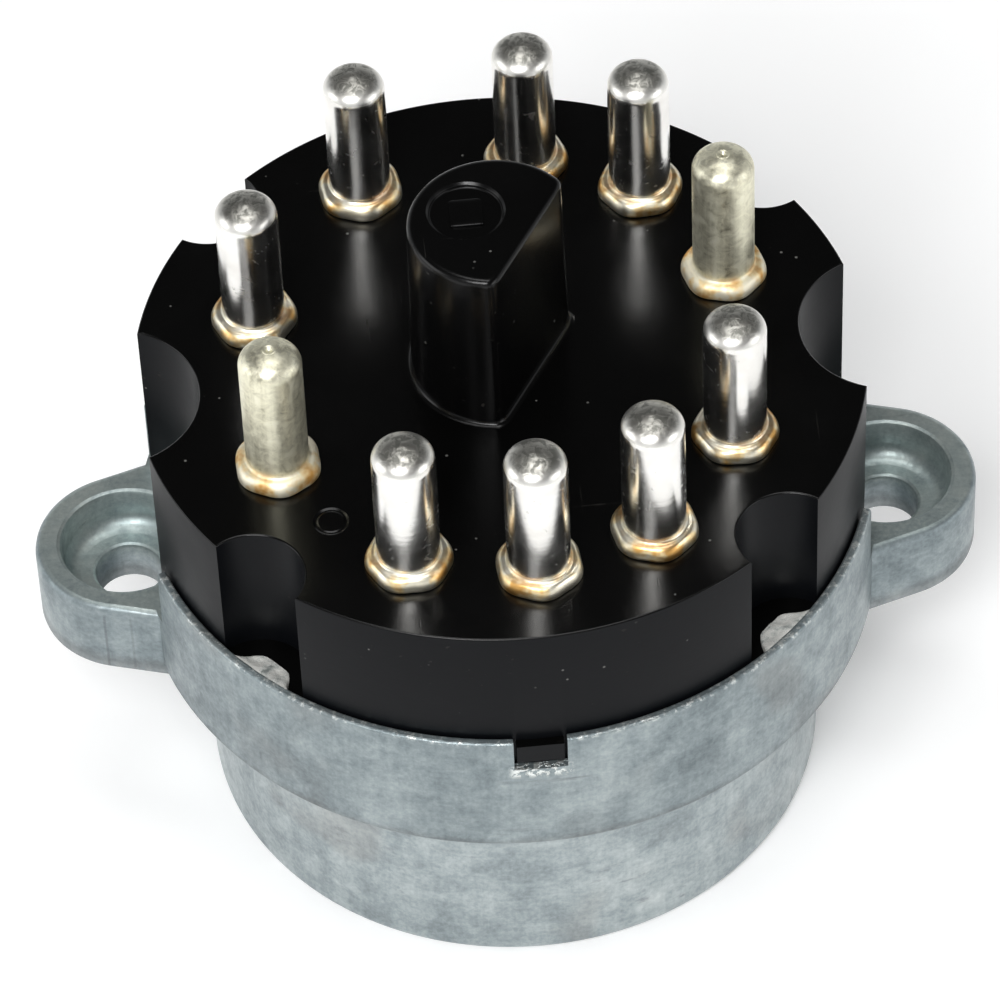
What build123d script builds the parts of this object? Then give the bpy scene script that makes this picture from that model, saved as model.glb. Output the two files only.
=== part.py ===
from build123d import *
import math
import os

# ---------------------------------------------------------------------------
# Ignition (starter) switch: die-cast housing with two counterbored ears, a
# moulded terminal plate staked into its rim, ten round plug pins, and the
# rotor, contact bridges and detent inside. Millimetres, +Z up. The origin is
# the centre of the housing's bottom face, X runs through the two ears.
# ---------------------------------------------------------------------------

# housing, outside
R_LOW = 20.4            # lower body radius
R_OUT = 24.2            # upper band radius
Z_STEP = 15.4           # underside of the upper band
Z_RELIEF = 13.9         # top of the locating band; a shallow groove runs from here to the step
R_RELIEF = 19.9
Z_RIM = 25.6            # top of the rim
R_RIM_IN = 23.6         # inside of the rim wall
EDGE_R = 0.7            # cast edge radius
FOOT = 0.7              # the housing reaches this far below the height datum
HOLE_SPACING = 50.0     # between the two ear holes
EAR_R = 5.95            # ear end radius
EAR_TOP = 20.7
EAR_BOT = 14.6
EAR_FLARE = 17.0        # each side widens toward the body, degrees
HOLE_R = 2.15           # clears an M4 screw
CBORE_R = 4.25
CBORE_DEPTH = 2.9
NOTCH_W = 3.4           # rim notch at -Y
NOTCH_BOT = 23.1

# housing, inside
Z_FLOOR = 6.0           # top of the floor
R_CAV = 18.4            # lower cavity
Z_SHELF = 17.6          # bottom of the spigot cavity
R_SPIGOT_BORE = 21.5
Z_SEAT = 22.0           # shelf the terminal plate's flange sits on
R_BORE = 7.0            # drive shaft bearing
R_UNDER = 10.6          # recess in the underside
UNDER_DEPTH = 2.4

# terminal plate
R_PLATE = 23.5
Z_FACE = 35.0           # top face
Z_FLANGE = 24.9         # top of the flange in the narrow scallops
Z_WEB = 23.2            # floor of the wide scallops, over the spigot
RIM_GAP_HALF = 17.8     # the rim is cut away this far each side of an ear, degrees
R_SPIGOT = 21.4
R_SKIRT_IN = 20.0
Z_SKIRT = 17.9
WIDE_DEEP_R = 19.3      # deepest point of a wide scallop from the axis
WIDE_ARC = 5.8
NARROW_DEEP_R = 20.3
NARROW_ARC = 3.33
WIDE_SCALLOPS = (0.6, 180.8)
NARROW_SCALLOPS = (38.0, 138.2, 223.8, 314.4)
TAB_W = 3.0
POST_R = 5.65
POST_FLAT = 2.65        # flat to axis
POST_FLAT_ANG = -31.6   # direction the flat faces
POST_H = 12.8
RECESS_R = 2.3
RECESS_OFF = 1.95       # from the axis, away from the flat
POST_DRAFT = 0.8        # degrees

# terminal pins: name, pitch radius, angle, collar turn
PIN_R = 2.0
PIN_TOP = 45.9
PIN_TIP_R = 1.15
COLLAR_AF = 5.2
COLLAR_CORNER_R = 2.75
COLLAR_H = 1.0
SHANK_R = 1.6
HEAD_R = 2.3
HEAD_H = 0.8
PINS = (
    ("a", 17.5, 116.0, 8.0),
    ("b", 17.5, 79.0, 21.0),
    ("c", 17.37, 52.8, 34.0),
    ("d", 16.13, 21.0, 15.0),
    ("e", 16.39, -30.3, 27.0),
    ("f", 17.69, -62.3, 12.0),
    ("g", 17.95, -87.5, 5.0),
    ("h", 17.91, -113.7, 30.0),
    ("i", 16.53, -153.0, 3.0),
    ("j", 16.23, 161.0, 24.0),
)
DIMPLED = ("d", "i")    # these two have a centre mark on the tip

# rotor and drive
SHAFT_R = 6.95
SHAFT_BOT = 0.5
KEY_AF = 9.0
KEY_GAP = 0.02
PILOT_R = 3.0
PILOT_TOP = 27.0
PLATE_PILOT_R = 3.05
SOCKET_L = 9.4          # blade socket in the shaft's lower end
SOCKET_W = 4.8
SOCKET_TOP = 6.5
CLIP_Z = 1.1
CLIP_T = 1.0
GROOVE_R = 6.25
ROTOR_BOT = 6.86
ROTOR_TOP = 21.2
R_DISC = 19.6
R_DRUM = 18.1
R_NECK = 12.4
R_LOWNECK = 15.2
BRIDGE_ANGLES = (97.5, -22.5, 217.5)
BRIDGE_HALF = 24.0      # degrees each side
BRIDGE_RI = 13.4
BRIDGE_RO = 18.7
BRIDGE_Z = 20.2
BRIDGE_T = 0.8
DOME_R = 17.1
DOME_ANG = 18.5
SPRING_PCR = 15.3
SPRING_BOT = 14.6
DETENT_Z = 9.1
BALL_R = 2.0
RING_RI = 15.6
RING_TOP = 11.2
NOTCH_DEPTH = 0.6
GAP = 0.02


def cyl(r, z0, z1, x=0.0, y=0.0):
    """Upright cylinder between two heights."""
    return Pos(x, y, (z0 + z1) / 2) * Cylinder(r, z1 - z0)


def ring(ro, ri, z0, z1, x=0.0, y=0.0):
    return cyl(ro, z0, z1, x, y) - cyl(ri, z0 - 1, z1 + 1, x, y)


def box(x0, x1, y0, y1, z0, z1):
    return Pos((x0 + x1) / 2, (y0 + y1) / 2, (z0 + z1) / 2) * Box(x1 - x0, y1 - y0, z1 - z0)


def polar(r, a):
    t = math.radians(a)
    return r * math.cos(t), r * math.sin(t)


def turned(points):
    """Solid of revolution about Z from (radius, height) points."""
    face = make_face(Plane.XZ * Polyline(*[(r, z) for r, z in points], close=True))
    return revolve(face, Axis.Z, 360)


def sector(ri, ro, a0, a1, z0, z1):
    """Ring sector between two angles."""
    pts_in = [polar(ri, a) for a in (a0, (a0 + a1) / 2, a1)]
    pts_out = [polar(ro, a) for a in (a1, (a0 + a1) / 2, a0)]
    wire = [
        ThreePointArc(*pts_in),
        Line(pts_in[2], pts_out[0]),
        ThreePointArc(*pts_out),
        Line(pts_out[2], pts_in[0]),
    ]
    return Pos(0, 0, z0) * extrude(make_face(Wire(wire)), z1 - z0)


def coil(r, wire_r, z0, z1, turns):
    """Round-wire compression spring standing between two heights."""
    low, high = z0 + wire_r + 0.01, z1 - wire_r - 0.01
    path = Helix(pitch=(high - low) / turns, height=high - low, radius=r)
    start = path @ 0
    section = Plane(origin=start, z_dir=path % 0) * Circle(wire_r)
    return Pos(0, 0, low) * sweep(section, path=path, is_frenet=True)


parts = {}

# ---------------------------------------------------------------- housing
shell = turned(
    [
        (0, -FOOT), (R_LOW - EDGE_R, -FOOT), (R_LOW, EDGE_R - FOOT), (R_LOW, Z_STEP - 0.4),
        (R_LOW + 0.4, Z_STEP), (R_OUT - 0.35, Z_STEP), (R_OUT, Z_STEP + 0.35),
        (R_OUT, Z_RIM - 0.15), (R_OUT - 0.15, Z_RIM), (R_RIM_IN + 0.1, Z_RIM),
        (R_RIM_IN, Z_RIM - 0.1), (R_RIM_IN, Z_SEAT), (R_SPIGOT_BORE, Z_SEAT),
        (R_SPIGOT_BORE, Z_SHELF), (R_CAV, Z_SHELF), (R_CAV, Z_FLOOR), (0, Z_FLOOR),
    ]
)


def ear_blank(sign):
    """Ear outline: round end, sides flaring toward the body."""
    cx = sign * HOLE_SPACING / 2
    t = math.radians(EAR_FLARE)
    tx, ty = EAR_R * math.sin(t), EAR_R * math.cos(t)
    x_in = 14.0
    run = (abs(cx) + tx) - x_in
    y_in = ty + run * math.tan(t)
    pts = [
        (cx + sign * tx, ty), (sign * x_in, y_in), (sign * x_in, -y_in), (cx + sign * tx, -ty),
    ]
    web = make_face(Polyline(*pts, close=True))
    body = extrude(web, EAR_TOP - EAR_BOT) + Pos(cx, 0, (EAR_TOP - EAR_BOT) / 2) * Cylinder(
        EAR_R, EAR_TOP - EAR_BOT
    )
    return Pos(0, 0, EAR_BOT) * body


ears = ear_blank(1) + ear_blank(-1)
# soften the ears' top and bottom outlines
soft = [
    e for e in ears.edges()
    if abs(e.center().Z - EAR_TOP) < 1e-3 or abs(e.center().Z - EAR_BOT) < 1e-3
]
soft = [e for e in soft if abs(e.center().X) > 15.0]
ears = fillet(soft, 0.45)
# the ears stop at the cavity walls
ears = ears - cyl(R_LOW - 1.0, 0, Z_STEP) - cyl(R_OUT - 1.2, Z_STEP - 0.1, Z_RIM)

lugs = None
for a in NARROW_SCALLOPS:
    lug = sector(22.1, R_RIM_IN + 0.3, a - 5.6, a + 5.6, Z_FLANGE + GAP, Z_RIM - 0.05)
    lugs = lug if lugs is None else lugs + lug

# shallow relief groove under the step, from ear to ear
groove = ring(R_LOW + 1.0, R_RELIEF, Z_RELIEF, Z_STEP - 0.4)
groove -= box(14.0, 26.0, -7.75, 7.75, Z_RELIEF - 1, Z_STEP)
groove -= box(-26.0, -14.0, -7.75, 7.75, Z_RELIEF - 1, Z_STEP)

housing = shell - groove + ears + lugs
for s in (1, -1):
    x = s * HOLE_SPACING / 2
    housing -= cyl(HOLE_R, EAR_BOT - 1, EAR_TOP + 1, x)
    housing -= cyl(CBORE_R, EAR_TOP - CBORE_DEPTH, EAR_TOP + 1, x)
    # the rim stops short of the ear so that a screw and its driver can pass
    mid = 0 if s == 1 else 180
    housing -= sector(R_RIM_IN - 0.1, 32.0, mid - RIM_GAP_HALF, mid + RIM_GAP_HALF, EAR_TOP, Z_RIM + 1)
    housing -= cyl(WIDE_ARC, EAR_TOP, Z_RIM + 1, x)
    # counterbore mouth is broken by a small chamfer
    housing -= Pos(x, 0, EAR_TOP - 0.15) * Cone(CBORE_R, CBORE_R + 0.31, 0.31)
housing -= cyl(R_BORE, -2, Z_FLOOR + 1)
housing -= cyl(R_UNDER, -2, UNDER_DEPTH)
housing -= ring(8.7, 6.5, Z_FLOOR - 1.0, Z_FLOOR + 0.5)          # seal groove
housing -= box(-NOTCH_W / 2, NOTCH_W / 2, -R_OUT - 1, -R_RIM_IN + 0.3, NOTCH_BOT, Z_RIM + 1)
# pocket for the return spring's fixed leg
housing -= Rot(0, 0, 20) * box(R_CAV - 0.6, R_CAV + 0.75, -0.75, 0.75, 11.4, 13.0)
parts["housing"] = housing

# ---------------------------------------------------------- terminal plate
plate = cyl(R_PLATE, Z_SEAT, Z_FACE)
for a in WIDE_SCALLOPS:
    x, y = polar(WIDE_DEEP_R + WIDE_ARC, a)
    plate -= cyl(WIDE_ARC, Z_WEB, Z_FACE + 1, x, y)
    plate -= cyl(WIDE_ARC, Z_SEAT - 1, Z_WEB + 1, x, y) - cyl(R_SPIGOT, Z_SEAT - 2, Z_WEB + 2)
for a in NARROW_SCALLOPS:
    x, y = polar(NARROW_DEEP_R + NARROW_ARC, a)
    plate -= cyl(NARROW_ARC, Z_FLANGE, Z_FACE + 1, x, y)
top_edges = [e for e in plate.edges() if abs(e.center().Z - Z_FACE) < 1e-3]
plate = fillet(top_edges, 0.22)
plate += cyl(R_SPIGOT, Z_SKIRT, Z_SEAT)
plate -= cyl(R_SKIRT_IN, Z_SKIRT - 1, Z_SEAT)
# the spigot is relieved beside each ear for the screw head
for s_x in (1, -1):
    plate -= cyl(CBORE_R + 0.05, Z_SKIRT - 1, Z_SEAT, s_x * HOLE_SPACING / 2)
plate += cyl(6.8, Z_SEAT - 0.6, Z_SEAT)
plate += box(-TAB_W / 2, TAB_W / 2, -R_OUT + 0.12, -R_PLATE + 0.5, 23.75, 25.25)

# D post: circle cut by a flat, slight draft, rounded top
flat_dir = polar(1.0, POST_FLAT_ANG)
post_2d = Circle(POST_R) - Rot(0, 0, POST_FLAT_ANG) * Pos(POST_FLAT + 10, 0) * Rectangle(20, 30)
post = Pos(0, 0, Z_FACE) * extrude(post_2d, POST_H, taper=POST_DRAFT)
post_top = [e for e in post.edges() if abs(e.center().Z - (Z_FACE + POST_H)) < 1e-2]
post = fillet(post_top, 0.55)
# round recess in the post's top, with a low square pad in it
ox, oy = -RECESS_OFF * flat_dir[0], -RECESS_OFF * flat_dir[1]
post -= cyl(RECESS_R, Z_FACE + POST_H - 0.3, Z_FACE + POST_H + 1, ox, oy)
post += box(ox - 1.05, ox + 1.05, oy - 1.15, oy + 1.15, Z_FACE + POST_H - 0.5, Z_FACE + POST_H - 0.12)
plate += post
# ejector ring on the top face
plate -= ring(1.08, 0.86, Z_FACE - 0.12, Z_FACE + 1, *polar(17.15, -133.4))
plate -= cyl(PLATE_PILOT_R, Z_SEAT - 2, PILOT_TOP + 0.6)
for name, r, a, turn in PINS:
    x, y = polar(r, a)
    plate -= cyl(SHANK_R + GAP, Z_SEAT - 1, Z_FACE + 1, x, y)
    plate -= cyl(HEAD_R + GAP, Z_SEAT - 1, Z_SEAT + HEAD_H + GAP, x, y)
parts["terminal_plate"] = plate

# ------------------------------------------------------------ terminal pins
for name, r, a, turn in PINS:
    z0 = Z_FACE + GAP
    collar = Pos(0, 0, z0) * extrude(RegularPolygon(COLLAR_AF / 2, 6, major_radius=False), COLLAR_H)
    collar &= turned(
        [
            (0, z0), (COLLAR_CORNER_R - 0.12, z0), (COLLAR_CORNER_R, z0 + 0.12),
            (COLLAR_CORNER_R, z0 + COLLAR_H - 0.3), (COLLAR_CORNER_R - 0.3, z0 + COLLAR_H),
            (0, z0 + COLLAR_H),
        ]
    )
    zc = z0 + COLLAR_H
    body = turned(
        [
            (0, Z_SEAT), (HEAD_R - 0.15, Z_SEAT), (HEAD_R, Z_SEAT + 0.15), (HEAD_R, Z_SEAT + HEAD_H),
            (SHANK_R, Z_SEAT + HEAD_H), (SHANK_R, z0 + 0.2), (PIN_R + 0.28, z0 + 0.2),
            (PIN_R + 0.28, zc), (PIN_R + 0.08, zc + 0.1), (PIN_R, zc + 0.35),
            (PIN_R, PIN_TOP), (0, PIN_TOP),
        ]
    )
    tip = [e for e in body.edges() if abs(e.center().Z - PIN_TOP) < 1e-3]
    body = fillet(tip, PIN_TIP_R)
    pin = body + collar
    if name in DIMPLED:
        pin -= Pos(0, 0, PIN_TOP - 0.12) * Cone(0.05, 0.3, 0.26)
    x, y = polar(r, a)
    parts["terminal_pin_" + name] = Pos(x, y, 0) * (Rot(0, 0, turn) * pin)

# -------------------------------------------------------------- drive shaft
shaft = cyl(SHAFT_R, SHAFT_BOT, 6.6)
shaft += Pos(0, 0, 12.0) * Box(KEY_AF, KEY_AF, 10.8)
shaft += cyl(PILOT_R, 17.0, PILOT_TOP - 0.4)
shaft += Pos(0, 0, PILOT_TOP - 0.2) * Cone(PILOT_R, PILOT_R - 0.4, 0.4)
shaft -= box(-SOCKET_L / 2, SOCKET_L / 2, -SOCKET_W / 2, SOCKET_W / 2, SHAFT_BOT - 1, SOCKET_TOP)
shaft -= ring(SHAFT_R + 1, GROOVE_R, CLIP_Z - 0.03, CLIP_Z + CLIP_T + 0.03)
parts["drive_shaft"] = shaft

clip = ring(8.5, GROOVE_R + GAP, CLIP_Z, CLIP_Z + CLIP_T)
clip -= sector(4.0, 12.0, -104, -76, CLIP_Z - 1, CLIP_Z + CLIP_T + 1)
for a in (-110, -70):
    x, y = polar(8.45, a)
    clip += cyl(1.15, CLIP_Z, CLIP_Z + CLIP_T, x, y) - cyl(GROOVE_R + 0.3, CLIP_Z - 1, CLIP_Z + 2)
    clip -= cyl(0.5, CLIP_Z - 1, CLIP_Z + CLIP_T + 1, *polar(8.6, a))
parts["retaining_clip"] = clip

parts["shaft_seal"] = Pos(0, 0, Z_FLOOR - 0.52) * Torus(7.84, 0.44)
parts["thrust_washer"] = ring(12.6, 7.3, Z_FLOOR, Z_FLOOR + 0.8)

# -------------------------------------------------------------------- rotor
rotor = cyl(R_LOWNECK, ROTOR_BOT, 11.5)
rotor += cyl(R_NECK, 11.4, 14.0)
rotor += cyl(R_DRUM, 13.9, 18.0)
rotor += cyl(R_DISC, 17.9, ROTOR_TOP)
rotor -= Pos(0, 0, 14) * Box(KEY_AF + 2 * KEY_GAP, KEY_AF + 2 * KEY_GAP, 20)
for a in BRIDGE_ANGLES:
    rotor -= sector(
        BRIDGE_RI - 0.15, BRIDGE_RO + 0.15, a - BRIDGE_HALF - 0.6, a + BRIDGE_HALF + 0.6,
        BRIDGE_Z - 0.8, ROTOR_TOP + 1,
    )
    x, y = polar(SPRING_PCR, a)
    rotor -= cyl(2.3, SPRING_BOT, ROTOR_TOP, x, y)
for a in (45, 225):
    rotor -= Rot(0, 0, a) * (Pos(12.0, 0, DETENT_Z) * Rot(0, 90, 0) * Cylinder(BALL_R + 0.1, 8.0))
# slot that takes the return spring's moving leg
rotor -= Rot(0, 0, -60) * box(10.4, R_NECK + 1, -0.75, 0.75, 11.9, 13.6)
parts["rotor"] = rotor

for n, a in enumerate(BRIDGE_ANGLES, 1):
    strip = sector(BRIDGE_RI, BRIDGE_RO, a - BRIDGE_HALF, a + BRIDGE_HALF, BRIDGE_Z, BRIDGE_Z + BRIDGE_T)
    upright = [e for e in strip.edges() if abs((e @ 0).Z - (e @ 1).Z) > 0.1]
    strip = fillet(upright, 0.8)
    for d in (-DOME_ANG, DOME_ANG):
        x, y = polar(DOME_R, a + d)
        dome = Pos(x, y, Z_SEAT - GAP - 1.6) * Sphere(1.6)
        strip += dome & box(x - 3, x + 3, y - 3, y + 3, BRIDGE_Z + 0.2, Z_SEAT)
    parts[f"contact_bridge_{n}"] = strip
    x, y = polar(SPRING_PCR, a)
    parts[f"bridge_spring_{n}"] = Pos(x, y, 0) * coil(1.85, 0.25, SPRING_BOT, BRIDGE_Z, 4.5)

# ------------------------------------------------------------------- detent
detent = ring(R_CAV - 0.01, RING_RI, Z_FLOOR, RING_TOP)
for base in (45, 225):
    for d in (0, 40):
        detent -= Rot(0, 0, base + d) * (
            Pos(RING_RI - BALL_R + NOTCH_DEPTH + 0.04, 0, (Z_FLOOR + RING_TOP) / 2)
            * Cylinder(BALL_R + 0.05, RING_TOP - Z_FLOOR + 2)
        )
    # the run and start positions share one long groove; the spring returns start to run
    detent -= sector(10, RING_RI + NOTCH_DEPTH + 0.04, base + 74, base + 122, Z_FLOOR - 1, RING_TOP + 1)
parts["detent_ring"] = detent

for n, a in enumerate((45, 225), 1):
    r = RING_RI - BALL_R - 0.02
    x, y = polar(r, a)
    parts[f"detent_ball_{n}"] = Pos(x, y, DETENT_Z) * Sphere(BALL_R)
    spring = coil(1.45, 0.22, 8.05, r - BALL_R + 0.28, 3.5)
    parts[f"detent_spring_{n}"] = Rot(0, 0, a) * (Pos(0, 0, DETENT_Z) * Rot(0, 90, 0) * spring)

# return spring: flat-lying torsion coil round the rotor's neck, two straight legs
TW, TR, TZ0, TZ1 = 0.45, 14.6, 12.0, 13.2
path = Helix(pitch=(TZ1 - TZ0) / (280.0 / 360.0), height=TZ1 - TZ0, radius=TR)
turns_wire = Pos(0, 0, TZ0) * sweep(Plane(origin=path @ 0, z_dir=path % 0) * Circle(TW), path=path, is_frenet=True)
spring = Rot(0, 0, 20) * turns_wire
leg_out = Rot(0, 0, 20) * (Pos((TR + R_CAV + 0.5) / 2, 0, TZ0 + 0.15) * Rot(0, 90, 0) * Cylinder(TW, R_CAV + 0.5 - TR))
leg_in = Rot(0, 0, -60) * (Pos((TR + 10.8) / 2, 0, TZ1 - 0.1) * Rot(0, 90, 0) * Cylinder(TW, TR - 10.8))
parts["return_spring"] = spring + leg_out + leg_in

os.makedirs("parts", exist_ok=True)
for name, shape in parts.items():
    # heights above are from the datum; the kept parts stand on the housing's foot
    shape = Pos(0, 0, FOOT) * shape
    solids = shape.solids()
    if len(solids) != 1:
        print("WARNING", name, "solids", len(solids))
    out = solids[0] if len(solids) == 1 else Compound(children=list(solids))
    out.label = name
    export_step(out, os.path.join("parts", name + ".step"))
    bb = out.bounding_box()
    print(name, round(out.volume, 1), [round(v, 2) for v in (*bb.min, *bb.max)])
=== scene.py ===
import math

import bpy
import bmesh
from mathutils import Matrix, Vector


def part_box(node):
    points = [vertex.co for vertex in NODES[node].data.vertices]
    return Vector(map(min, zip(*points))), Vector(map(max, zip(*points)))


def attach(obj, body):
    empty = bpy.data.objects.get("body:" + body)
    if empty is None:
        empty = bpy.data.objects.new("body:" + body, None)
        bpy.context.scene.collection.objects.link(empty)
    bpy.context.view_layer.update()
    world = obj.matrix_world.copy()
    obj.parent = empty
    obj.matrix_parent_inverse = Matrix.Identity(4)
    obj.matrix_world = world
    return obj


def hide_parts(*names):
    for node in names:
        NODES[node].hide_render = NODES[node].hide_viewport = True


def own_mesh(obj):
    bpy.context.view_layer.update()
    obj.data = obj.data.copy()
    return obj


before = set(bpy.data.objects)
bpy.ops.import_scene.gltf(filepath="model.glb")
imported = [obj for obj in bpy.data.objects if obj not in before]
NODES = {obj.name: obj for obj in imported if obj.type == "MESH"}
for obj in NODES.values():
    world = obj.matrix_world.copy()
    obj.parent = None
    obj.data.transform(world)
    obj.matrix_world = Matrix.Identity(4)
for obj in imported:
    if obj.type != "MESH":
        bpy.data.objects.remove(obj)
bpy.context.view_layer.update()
MM = 0.001

# ---------------------------------------------------------------- dimensions
# The same numbers as the CAD, in millimetres above its height datum, which is
# FOOT above the underside of the housing. Meshes are lifted by FOOT when made.
FOOT = 0.7
box_h = [[v / MM for v in c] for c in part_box("housing")]
box_p = [[v / MM for v in c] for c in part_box("terminal_plate")]
box_pin = [[v / MM for v in c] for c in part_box("terminal_pin_a")]
Z_RIM = round(box_h[1][2] - FOOT, 3)
PIN_TOP = round(box_pin[1][2] - FOOT, 3)
POST_TOP = round(box_p[1][2] - FOOT, 3)
R_OUT = round(box_h[1][1], 3)
R_PLATE = round(box_p[1][1], 3)
R_LOW, Z_STEP, R_RIM_IN, Z_FACE, Z_SEAT = 20.4, 15.4, 23.6, 35.0, 22.0
Z_SHELF, R_SPIGOT_BORE, R_CAV, Z_FLOOR, R_BORE = 17.6, 21.5, 18.4, 6.0, 7.0
R_UNDER, UNDER_DEPTH = 10.6, 2.4
EAR_X, EAR_R, EAR_TOP, EAR_BOT, EAR_FLARE = 25.0, 5.95, 20.7, 14.6, 17.0
HOLE_R, CBORE_R, CBORE_DEPTH = 2.15, 4.25, 2.9
RIM_GAP_HALF = 17.8
NOTCH_W, NOTCH_BOT = 3.4, 23.1
Z_FLANGE, Z_WEB, Z_SKIRT, R_SPIGOT, R_SKIRT_IN = 24.9, 23.2, 17.9, 21.4, 20.0
WIDE = ((0.6, 19.3, 5.8), (180.8, 19.3, 5.8))
NARROW = tuple((a, 20.3, 3.33) for a in (38.0, 138.2, 223.8, 314.4))
POST_R, POST_FLAT, POST_ANG, POST_DRAFT = 5.65, 2.65, -31.6, 0.8
RECESS_R, RECESS_OFF = 2.3, 1.95
Z_RELIEF, R_RELIEF = 13.9, 19.9
PINS = (
    ("a", 17.5, 116.0, 8.0), ("b", 17.5, 79.0, 21.0), ("c", 17.37, 52.8, 34.0),
    ("d", 16.13, 21.0, 15.0), ("e", 16.39, -30.3, 27.0), ("f", 17.69, -62.3, 12.0),
    ("g", 17.95, -87.5, 5.0), ("h", 17.91, -113.7, 30.0), ("i", 16.53, -153.0, 3.0),
    ("j", 16.23, 161.0, 24.0),
)
DULL = ("d", "i")


def polar(r, a):
    t = math.radians(a)
    return r * math.cos(t), r * math.sin(t)


# ------------------------------------------------------------------- meshing
def make(name, verts, faces):
    """A mesh object from points in millimetres."""
    me = bpy.data.meshes.new(name)
    me.from_pydata([(x * MM, y * MM, (z + FOOT) * MM) for x, y, z in verts], [], faces)
    bm = bmesh.new()
    bm.from_mesh(me)
    bmesh.ops.remove_doubles(bm, verts=bm.verts, dist=1e-7)
    bmesh.ops.recalc_face_normals(bm, faces=bm.faces)
    bm.to_mesh(me)
    bm.free()
    ob = bpy.data.objects.new(name, me)
    bpy.context.scene.collection.objects.link(ob)
    return ob


def arc(cx, cy, r, a0, a1, n):
    return [
        (cx + r * math.cos(math.radians(a0 + (a1 - a0) * i / n)),
         cy + r * math.sin(math.radians(a0 + (a1 - a0) * i / n)))
        for i in range(n + 1)
    ]


def rounded(points, n=5):
    """A closed outline with its corners rounded: points are (x, y) or (x, y, radius)."""
    out = []
    count = len(points)
    for i, p in enumerate(points):
        r = p[2] if len(p) > 2 else 0
        c = Vector(p[:2])
        if not r:
            out.append(tuple(c))
            continue
        a = (Vector(points[i - 1][:2]) - c).normalized()
        b = (Vector(points[(i + 1) % count][:2]) - c).normalized()
        angle = a.angle(b)
        d = r / math.tan(angle / 2)
        s, e = c + a * d, c + b * d
        mid = c + (a + b).normalized() * (r / math.sin(angle / 2))
        v0, v1 = s - mid, e - mid
        turn = math.atan2(v0.x * v1.y - v0.y * v1.x, v0.dot(v1))
        for k in range(n + 1):
            t = turn * k / n
            out.append((
                mid.x + v0.x * math.cos(t) - v0.y * math.sin(t),
                mid.y + v0.x * math.sin(t) + v0.y * math.cos(t),
            ))
    return out


def lathe(name, profile, seg=256, x=0.0, y=0.0):
    """Closed solid of revolution from an (r, z) outline."""
    verts, faces, rows = [], [], []
    for r, z in profile:
        if r < 1e-6:
            rows.append([len(verts)])
            verts.append((x, y, z))
        else:
            rows.append(list(range(len(verts), len(verts) + seg)))
            for k in range(seg):
                t = 2 * math.pi * k / seg
                verts.append((x + r * math.cos(t), y + r * math.sin(t), z))
    for i in range(len(rows)):
        a, b = rows[i], rows[(i + 1) % len(rows)]
        if len(a) == 1 and len(b) == 1:
            continue
        for k in range(seg):
            m = (k + 1) % seg
            if len(a) == 1:
                faces.append((a[0], b[k], b[m]))
            elif len(b) == 1:
                faces.append((a[k], b[0], a[m]))
            else:
                faces.append((a[k], b[k], b[m], a[m]))
    return make(name, verts, faces)


def stack(name, levels):
    """Closed solid from outlines of equal length, one above another: [(outline, z), ...]."""
    verts, faces = [], []
    n = len(levels[0][0])
    for outline, z in levels:
        verts += [(px, py, z) for px, py in outline]
    for i in range(len(levels) - 1):
        for k in range(n):
            m = (k + 1) % n
            faces.append((i * n + k, i * n + m, (i + 1) * n + m, (i + 1) * n + k))
    faces.append(tuple(reversed(range(n))))
    faces.append(tuple(range((len(levels) - 1) * n, len(levels) * n)))
    return make(name, verts, faces)


def boolean(ob, tool, op="DIFFERENCE", keep=False):
    mod = ob.modifiers.new("b", "BOOLEAN")
    mod.operation, mod.object, mod.solver = op, tool, "EXACT"
    bpy.context.view_layer.update()
    dg = bpy.context.evaluated_depsgraph_get()
    me = bpy.data.meshes.new_from_object(ob.evaluated_get(dg))
    bm = bmesh.new()
    bm.from_mesh(me)
    bmesh.ops.remove_doubles(bm, verts=bm.verts, dist=4e-7)
    bmesh.ops.dissolve_degenerate(bm, dist=2e-7, edges=bm.edges)
    bm.to_mesh(me)
    bm.free()
    ob.modifiers.clear()
    old, ob.data = ob.data, me
    bpy.data.meshes.remove(old)
    if not keep:
        gone = tool.data
        bpy.data.objects.remove(tool)
        bpy.data.meshes.remove(gone)
    return ob


def box_tool(x0, x1, y0, y1, z0, z1, turn=0.0):
    pts = [(x0, y0), (x1, y0), (x1, y1), (x0, y1)]
    c, s = math.cos(math.radians(turn)), math.sin(math.radians(turn))
    pts = [(c * px - s * py, s * px + c * py) for px, py in pts]
    return stack("tool", [(pts, z0), (pts, z1)])


def sector_tool(ri, ro, a0, a1, z0, z1, n=24):
    pts = arc(0, 0, ri, a1, a0, n) + arc(0, 0, ro, a0, a1, n)
    return stack("tool", [(pts, z0), (pts, z1)])


def shade(ob, limit=32.0):
    """Smooth faces, with edges sharper than the limit kept sharp."""
    bm = bmesh.new()
    bm.from_mesh(ob.data)
    bmesh.ops.remove_doubles(bm, verts=bm.verts, dist=2e-7)
    bmesh.ops.dissolve_degenerate(bm, dist=1e-7, edges=bm.edges)
    bm.normal_update()
    for f in bm.faces:
        # level faces stay flat, so a rounded edge doesn't tilt their shading
        f.smooth = abs(f.normal.z) < 0.99999
    for e in bm.edges:
        if len(e.link_faces) == 2:
            e.smooth = e.calc_face_angle(0) < math.radians(limit)
    bm.to_mesh(ob.data)
    bm.free()
    return ob


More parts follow.
